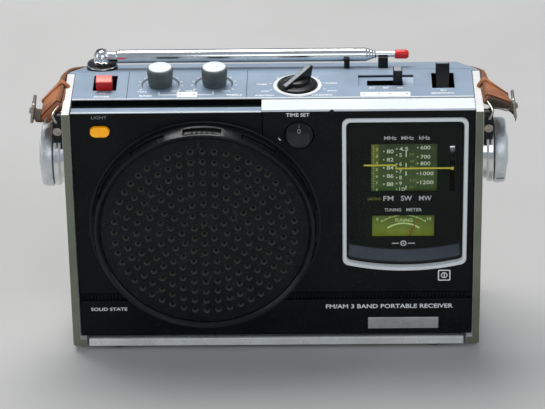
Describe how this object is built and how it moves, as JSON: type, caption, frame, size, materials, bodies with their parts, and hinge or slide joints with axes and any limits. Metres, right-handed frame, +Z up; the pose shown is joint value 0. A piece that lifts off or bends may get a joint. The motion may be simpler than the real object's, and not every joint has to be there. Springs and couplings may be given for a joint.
{
  "type": "portable transistor radio",
  "caption": "Portable three-band radio: round speaker grille, lit dial window, top controls, side knobs, folding telescopic antenna and leather strap.",
  "frame": {"origin": "Middle of the outer box in X and Y, at the level of the rubber feet's undersides.", "axes": "+Z up, +X to the right of a person who faces the radio's front, +Y from the front to the rear; the speaker faces -Y."},
  "size_m": [0.2746, 0.0998, 0.1648],
  "materials": {
    "black_plastic": "moulded black plastic, fine grain",
    "black_panel": "satin black painted aluminium panel",
    "gloss_black": "glossy black moulding",
    "satin_trim": "satin anodised aluminium, fine brushing",
    "grey_panel": "satin blue-grey paint",
    "foot_rubber": "matt rubber",
    "zinc_steel": "zinc plated steel",
    "cone_paper": "pressed paper pulp",
    "magnet_iron": "painted magnet",
    "bright_rim": "bright silver rim",
    "clear_lens": "clear acrylic window",
    "green_scale": "green translucent scale",
    "yellow_pointer": "yellow paint",
    "needle_red": "pale paint",
    "lamp_glass": "clear glass bulb",
    "red_plastic": "glossy red plastic",
    "grey_knob": "grey-green plastic with a pale cap",
    "white_ring": "white plastic",
    "amber_plastic": "amber plastic",
    "turned_aluminium": "spun satin aluminium",
    "polished_collar": "polished aluminium",
    "chrome_tube": "polished chrome on brass",
    "tan_leather": "oiled tan leather with stitched edges",
    "buckle_metal": "worn nickel plate",
    "board_brown": "phenolic board",
    "ferrite": "ferrite with wound coils",
    "battery_case": "printed steel case"
  },
  "bodies": {
    "root": {"chassis": "black_plastic", "side_trim_left": "satin_trim", "side_trim_right": "satin_trim", "bottom_plate": "satin_trim", "speaker_panel": "black_panel", "dial_panel": "black_panel", "chin_panel": "black_panel", "rib_strip": "black_plastic", "top_panel": "grey_panel", "top_strip": "satin_trim", "rear_cover": "black_plastic", "rubber_feet": "foot_rubber", "case_screws": "zinc_steel", "speaker_bezel": "gloss_black", "speaker_grille": "black_plastic", "speaker_basket": "zinc_steel", "speaker_cone": "cone_paper", "speaker_magnet": "magnet_iron", "dial_frame": "bright_rim", "dial_lens": "clear_lens", "dial_well": "gloss_black", "dial_mask": "gloss_black", "scale_plate": "green_scale", "pointer_rail": "zinc_steel", "meter_housing": "green_scale", "dial_lamp": "lamp_glass", "name_plate": "bright_rim", "function_ring": "white_ring", "knob_collars": "polished_collar", "control_pots": "zinc_steel", "lever_switches": "board_brown", "antenna_seat": "black_plastic", "antenna_cradles": "black_plastic", "strap_lugs": "black_plastic", "strap": "tan_leather", "strap_buckles": "buckle_metal", "circuit_board": "board_brown", "tuning_capacitor": "zinc_steel", "ferrite_rod": "ferrite", "batteries": "battery_case"},
    "power_lever": {"power_lever": "red_plastic"},
    "sensitivity_lever": {"sensitivity_lever": "black_plastic"},
    "bass_knob": {"bass_knob": "grey_knob"},
    "treble_knob": {"treble_knob": "grey_knob"},
    "function_knob": {"function_knob": "gloss_black"},
    "band_lever": {"band_lever": "black_plastic"},
    "time_set_dial": {"time_set_dial": "gloss_black"},
    "light_button": {"light_button": "amber_plastic"},
    "tuning_knob": {"tuning_knob": "turned_aluminium"},
    "dial_pointer": {"dial_pointer": "yellow_pointer"},
    "drive_drum": {"drive_drum": "white_ring"},
    "volume_knob": {"volume_knob": "turned_aluminium"},
    "meter_needle": {"meter_needle": "needle_red"},
    "antenna_knuckle": {"antenna_knuckle": "chrome_tube"},
    "antenna_tube": {"antenna_tube": "chrome_tube"},
    "antenna_section_2": {"antenna_section_2": "chrome_tube"},
    "antenna_section_3": {"antenna_section_3": "chrome_tube"},
    "antenna_section_4": {"antenna_section_4": "chrome_tube"},
    "antenna_rod": {"antenna_rod": "chrome_tube"},
    "battery_door": {"battery_door": "black_plastic"}
  },
  "joints": [
    {"name": "power_rock", "type": "hinge", "parent": "root", "child": "power_lever", "pos_m": [-0.0956, -0.0033, 0.1335], "axis": [-1, 0, 0], "range_deg": [0, 33]},
    {"name": "sensitivity_rock", "type": "hinge", "parent": "root", "child": "sensitivity_lever", "pos_m": [0.0965, -0.0033, 0.1335], "axis": [1, 0, 0], "range_deg": [0, 33]},
    {"name": "bass_turn", "type": "hinge", "parent": "root", "child": "bass_knob", "pos_m": [-0.064, -0.0055, 0.1535], "axis": [0, 0, 1], "range_deg": [-140, 140]},
    {"name": "treble_turn", "type": "hinge", "parent": "root", "child": "treble_knob", "pos_m": [-0.0332, -0.0055, 0.1535], "axis": [0, 0, 1], "range_deg": [-140, 140]},
    {"name": "function_turn", "type": "hinge", "parent": "root", "child": "function_knob", "pos_m": [0.0139, -0.0089, 0.1535], "axis": [0, 0, 1], "range_deg": [-60, 60]},
    {"name": "band_slide", "type": "slide", "parent": "root", "child": "band_lever", "axis": [1, 0, 0], "range_m": [-0.014, 0]},
    {"name": "time_set_turn", "type": "hinge", "parent": "root", "child": "time_set_dial", "pos_m": [0.0147, -0.0393, 0.1376], "axis": [0, 1, 0], "range_deg": [0, 270]},
    {"name": "light_press", "type": "slide", "parent": "root", "child": "light_button", "axis": [0, 1, 0], "range_m": [0, 0.0015], "stiffness_N_per_m": 400},
    {"name": "tuning_turn", "type": "hinge", "parent": "root", "child": "tuning_knob", "pos_m": [0.118, -0.0165, 0.1159], "axis": [1, 0, 0], "range_deg": [-265, 229]},
    {"name": "pointer_travel", "type": "slide", "parent": "root", "child": "dial_pointer", "axis": [0, 0, 1], "range_m": [-0.014, 0.012]},
    {"name": "drum_turn", "type": "hinge", "parent": "root", "child": "drive_drum", "pos_m": [0.074, -0.0205, 0.1075], "axis": [0, 1, 0], "range_deg": [-96, 83]},
    {"name": "volume_turn", "type": "hinge", "parent": "root", "child": "volume_knob", "pos_m": [-0.118, -0.0165, 0.1159], "axis": [-1, 0, 0], "range_deg": [-150, 150]},
    {"name": "needle_swing", "type": "hinge", "parent": "root", "child": "meter_needle", "pos_m": [0.0737, -0.0292, 0.0599], "axis": [0, 1, 0], "range_deg": [-60, 10], "stiffness_Nm_per_rad": 0.0001},
    {"name": "antenna_swivel", "type": "hinge", "parent": "root", "child": "antenna_knuckle", "pos_m": [-0.0988, 0.0215, 0.1545], "axis": [0, 0, 1], "range_deg": [0, 180]},
    {"name": "antenna_tilt", "type": "hinge", "parent": "antenna_knuckle", "child": "antenna_tube", "pos_m": [-0.0988, 0.0215, 0.1585], "axis": [0, -1, 0], "range_deg": [0, 90]},
    {"name": "antenna_extend", "type": "slide", "parent": "antenna_tube", "child": "antenna_section_2", "axis": [1, 0, 0], "range_m": [0, 0.12]},
    {"name": "section_3_slide", "type": "slide", "parent": "antenna_section_2", "child": "antenna_section_3", "axis": [1, 0, 0], "range_m": [0, 0.12]},
    {"name": "section_4_slide", "type": "slide", "parent": "antenna_section_3", "child": "antenna_section_4", "axis": [1, 0, 0], "range_m": [0, 0.12]},
    {"name": "rod_slide", "type": "slide", "parent": "antenna_section_4", "child": "antenna_rod", "axis": [1, 0, 0], "range_m": [0, 0.12]},
    {"name": "battery_door_hinge", "type": "hinge", "parent": "root", "child": "battery_door", "pos_m": [0, 0.035, 0.0138], "axis": [-1, 0, 0], "range_deg": [0, 100]}
  ],
  "couplings": [
    {"joint": "pointer_travel", "follows": "tuning_turn", "m_per_rad": 0.003},
    {"joint": "drum_turn", "follows": "tuning_turn", "ratio": 0.361},
    {"joint": "section_3_slide", "follows": "antenna_extend", "ratio": 1},
    {"joint": "section_4_slide", "follows": "antenna_extend", "ratio": 1},
    {"joint": "rod_slide", "follows": "antenna_extend", "ratio": 1}
  ]
}
